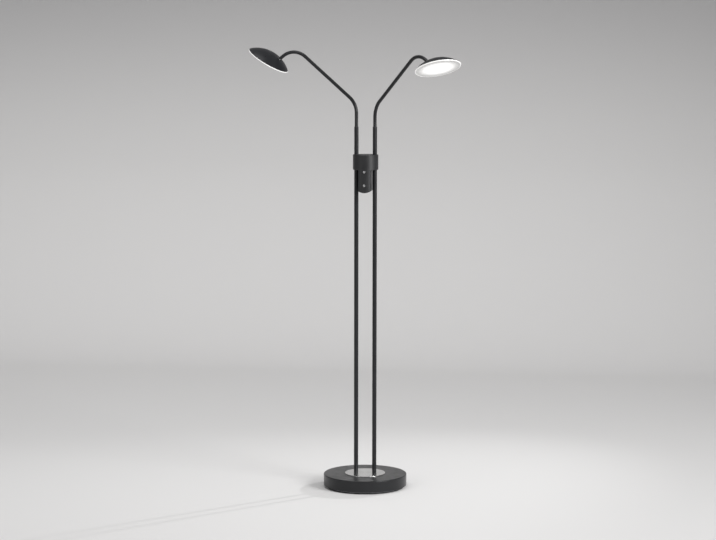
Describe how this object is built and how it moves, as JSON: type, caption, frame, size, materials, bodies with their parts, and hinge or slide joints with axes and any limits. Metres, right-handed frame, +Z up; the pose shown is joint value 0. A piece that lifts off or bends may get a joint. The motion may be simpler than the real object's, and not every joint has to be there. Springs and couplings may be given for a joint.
{
  "type": "twin head floor lamp",
  "caption": "Free-standing floor lamp with a weighted round base, two slim poles, a push button unit between them and bent arms that lift, turn and carry tilting dished light heads.",
  "frame": {"origin": "on the floor under the centre of the round base", "axes": "+Z up along the poles, X through both poles with the right one at +X, and -Y is the front, where the push buttons are"},
  "size_m": [0.7334, 0.4285, 1.4785],
  "materials": {
    "anthracite_paint": "satin fine-textured anthracite powder paint on steel",
    "dome_paint": "satin anthracite paint on a pressed dome",
    "ball_paint": "satin black",
    "anthracite_plastic": "satin moulded plastic in the colour of the metal",
    "satin_nickel": "circularly brushed satin nickel",
    "silver_button": "bright satin",
    "cast_metal": "as cast",
    "zinc_steel": "zinc plated",
    "black_steel": "blackened",
    "pad_foam": "dense foam",
    "black_plastic": "moulded",
    "white_plastic": "moulded, slippery",
    "board_green": "lacquered circuit board",
    "board_white": "white lacquered metal-core board",
    "led_yellow": "phosphor",
    "spreader_aluminium": "rolled",
    "opal_diffuser": "opal, lit from behind"
  },
  "bodies": {
    "root": {"base_cover": "anthracite_paint", "base_weight": "cast_metal", "bottom_plate": "zinc_steel", "bottom_screws": "zinc_steel", "cable_gland": "black_plastic", "circuit_board": "board_green", "floor_pad": "pad_foam", "foot_inserts": "zinc_steel", "foot_nuts": "zinc_steel", "foot_studs": "zinc_steel", "foot_washers": "zinc_steel", "front_housing": "anthracite_plastic", "gland_nut": "black_plastic", "housing_cap": "anthracite_plastic", "housing_screws": "black_steel", "inset_disc": "satin_nickel", "left_pole": "anthracite_paint", "left_pole_bush": "black_plastic", "pole_bracket": "black_plastic", "rear_housing": "anthracite_plastic", "right_pole": "anthracite_paint", "right_pole_bush": "black_plastic", "set_screws": "black_steel", "switches": "black_plastic"},
    "left_slider": {"left_arm_sleeve": "white_plastic"},
    "left_arm": {"left_arm_tube": "anthracite_paint", "left_arm_end_plug": "white_plastic", "left_neck_spigot": "zinc_steel", "left_neck_clip": "black_steel"},
    "left_ball": {"left_swivel_ball": "ball_paint"},
    "left_head": {"left_dome": "dome_paint", "left_diffuser": "opal_diffuser", "left_heat_spreader": "spreader_aluminium", "left_led_board": "board_white", "left_leds": "led_yellow", "left_board_screws": "zinc_steel", "left_socket_cup": "white_plastic", "left_socket_strap": "zinc_steel", "left_strap_screws": "zinc_steel"},
    "right_slider": {"right_arm_sleeve": "white_plastic"},
    "right_arm": {"right_arm_tube": "anthracite_paint", "right_arm_end_plug": "white_plastic", "right_neck_spigot": "zinc_steel", "right_neck_clip": "black_steel"},
    "right_ball": {"right_swivel_ball": "ball_paint"},
    "right_head": {"right_dome": "dome_paint", "right_diffuser": "opal_diffuser", "right_heat_spreader": "spreader_aluminium", "right_led_board": "board_white", "right_leds": "led_yellow", "right_board_screws": "zinc_steel", "right_socket_cup": "white_plastic", "right_socket_strap": "zinc_steel", "right_strap_screws": "zinc_steel"},
    "upper_button_body": {"upper_button": "silver_button", "upper_plunger": "black_plastic"},
    "lower_button_body": {"lower_button": "silver_button", "lower_plunger": "black_plastic"}
  },
  "joints": [
    {"name": "left_lift", "type": "slide", "parent": "root", "child": "left_slider", "axis": [0, 0, 1], "range_m": [-0.04, 0.12]},
    {"name": "left_arm_turn", "type": "hinge", "parent": "left_slider", "child": "left_arm", "pos_m": [-0.031, 0, 1.03], "axis": [0, 0, 1], "range_deg": [-60, 84]},
    {"name": "left_head_turn", "type": "hinge", "parent": "left_arm", "child": "left_ball", "pos_m": [-0.3019, 0.05758, 1.43718], "axis": [0.7708, -0.1638, 0.6157], "range_deg": [-165, 165]},
    {"name": "left_head_tilt", "type": "hinge", "parent": "left_ball", "child": "left_head", "pos_m": [-0.3019, 0.05758, 1.43718], "axis": [-0.2079, -0.9781, 0], "range_deg": [-27, 21]},
    {"name": "right_lift", "type": "slide", "parent": "root", "child": "right_slider", "axis": [0, 0, 1], "range_m": [-0.028, 0.132]},
    {"name": "right_arm_turn", "type": "hinge", "parent": "right_slider", "child": "right_arm", "pos_m": [0.031, 0, 1.03], "axis": [0, 0, 1], "range_deg": [-28, 116]},
    {"name": "right_head_turn", "type": "hinge", "parent": "right_arm", "child": "right_ball", "pos_m": [0.23023, -0.19239, 1.42518], "axis": [-0.5668, 0.5474, 0.6157], "range_deg": [-175, 155]},
    {"name": "right_head_tilt", "type": "hinge", "parent": "right_ball", "child": "right_head", "pos_m": [0.23023, -0.19239, 1.42518], "axis": [0.6072, 0.7827, -0.1368], "range_deg": [-38, 10]},
    {"name": "upper_press", "type": "slide", "parent": "root", "child": "upper_button_body", "axis": [0, 1, 0], "range_m": [0, 0.0009], "stiffness_N_per_m": 1500, "springref_m": -0.0003},
    {"name": "lower_press", "type": "slide", "parent": "root", "child": "lower_button_body", "axis": [0, 1, 0], "range_m": [0, 0.0009], "stiffness_N_per_m": 1500, "springref_m": -0.0003}
  ]
}
